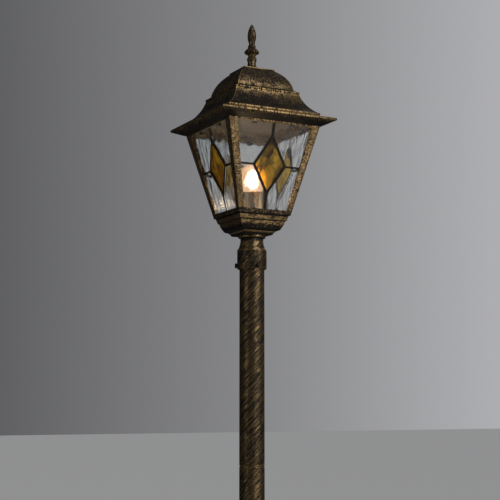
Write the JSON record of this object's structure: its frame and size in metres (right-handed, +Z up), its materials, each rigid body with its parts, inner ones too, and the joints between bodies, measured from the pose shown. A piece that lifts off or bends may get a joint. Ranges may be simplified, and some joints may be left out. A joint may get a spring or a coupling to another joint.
{
  "type": "lantern floor lamp",
  "caption": "Square tapered lantern with leaded clear and amber glass, domed roof and finial on a tall round post with a bell foot.",
  "frame": {"origin": "centre of the foot on the ground, on the post axis", "axes": "+Z up the post, -Y out of the front face of the lantern"},
  "size_m": [0.1816, 0.1816, 1.1997],
  "materials": {
    "aged_bronze": "near-black brown with dry-brushed gold bronze",
    "dark_screw": "darkened",
    "zinc_steel": "zinc plated",
    "brass": "bare",
    "water_glass": "clear, rippled",
    "amber_glass": "streaky amber",
    "black_lead": "blackened lead came",
    "bare_aluminium": "satin",
    "glazed_porcelain": "glazed, grey brown",
    "white_plastic": "matte",
    "bulb_glass": "frosted",
    "lit_capsule": "glowing",
    "cap_metal": "plain",
    "black_insulator": "vitrified"
  },
  "bodies": {
    "post": {"base_bell": "aged_bronze", "earth_terminal": "brass", "terminal_block": "white_plastic", "terminal_sleeves": "brass", "terminal_screw": "zinc_steel", "foot_tube": "aged_bronze", "lower_coupler": "aged_bronze", "middle_tube": "aged_bronze", "upper_coupler": "aged_bronze", "upper_tube": "aged_bronze"},
    "head": {"post_collar": "aged_bronze", "nipple": "brass", "nipple_washer": "zinc_steel", "nipple_nut_lower": "zinc_steel", "nipple_nut_upper": "zinc_steel", "cup": "aged_bronze", "cage_frame": "aged_bronze", "floor_plate": "bare_aluminium", "cage_screws": "zinc_steel", "lampholder_body": "glazed_porcelain", "lampholder_shell": "brass", "contact_spring": "brass", "clear_glass_front": "water_glass", "clear_glass_right": "water_glass", "clear_glass_back": "water_glass", "clear_glass_left": "water_glass", "amber_diamond_front": "amber_glass", "amber_diamond_right": "amber_glass", "amber_diamond_back": "amber_glass", "amber_diamond_left": "amber_glass", "came_front": "black_lead", "came_right": "black_lead", "came_back": "black_lead", "came_left": "black_lead", "pane_clips": "black_lead", "clip_screws": "zinc_steel"},
    "collar_screw_front": {"collar_screw_front": "dark_screw"},
    "collar_screw_right": {"collar_screw_right": "dark_screw"},
    "collar_screw_left": {"collar_screw_left": "dark_screw"},
    "bulb": {"bulb_envelope": "bulb_glass", "bulb_cap": "cap_metal", "bulb_contact": "black_insulator", "bulb_stem": "bulb_glass", "bulb_capsule": "lit_capsule"},
    "roof": {"roof_shell": "aged_bronze", "cap_plate": "aged_bronze", "finial_stud": "zinc_steel", "finial_nut": "zinc_steel"},
    "finial": {"finial": "aged_bronze"},
    "roof_screw_left": {"roof_screw_left": "dark_screw"},
    "roof_screw_right": {"roof_screw_right": "dark_screw"}
  },
  "joints": [
    {"name": "head_turn", "type": "hinge", "parent": "post", "child": "head", "pos_m": [0, 0, 0.846], "axis": [0, 0, 1], "range_deg": [-180, 180]},
    {"name": "roof_lift", "type": "slide", "parent": "head", "child": "roof", "axis": [0, 0, 1], "range_m": [0, 0.15]},
    {"name": "finial_turn", "type": "hinge", "parent": "roof", "child": "finial", "pos_m": [0, 0, 1.13], "axis": [0, 0, 1], "range_deg": [0, 1080]},
    {"name": "bulb_lift", "type": "slide", "parent": "head", "child": "bulb", "axis": [0, 0, 1], "range_m": [0, 0.09]},
    {"name": "collar_screw_front_turn", "type": "hinge", "parent": "head", "child": "collar_screw_front", "pos_m": [0, -0.0213, 0.8395], "axis": [0, -1, 0], "range_deg": [0, 720]},
    {"name": "collar_screw_right_turn", "type": "hinge", "parent": "head", "child": "collar_screw_right", "pos_m": [0.01845, 0.01065, 0.8395], "axis": [0.866, 0.5, 0], "range_deg": [0, 720]},
    {"name": "collar_screw_left_turn", "type": "hinge", "parent": "head", "child": "collar_screw_left", "pos_m": [-0.01845, 0.01065, 0.8395], "axis": [-0.866, 0.5, 0], "range_deg": [0, 720]},
    {"name": "roof_screw_left_turn", "type": "hinge", "parent": "roof", "child": "roof_screw_left", "pos_m": [-0.0795, 0, 1.0416], "axis": [-1, 0, 0], "range_deg": [0, 720]},
    {"name": "roof_screw_right_turn", "type": "hinge", "parent": "roof", "child": "roof_screw_right", "pos_m": [0.0795, 0, 1.0416], "axis": [1, 0, 0], "range_deg": [0, 720]}
  ]
}
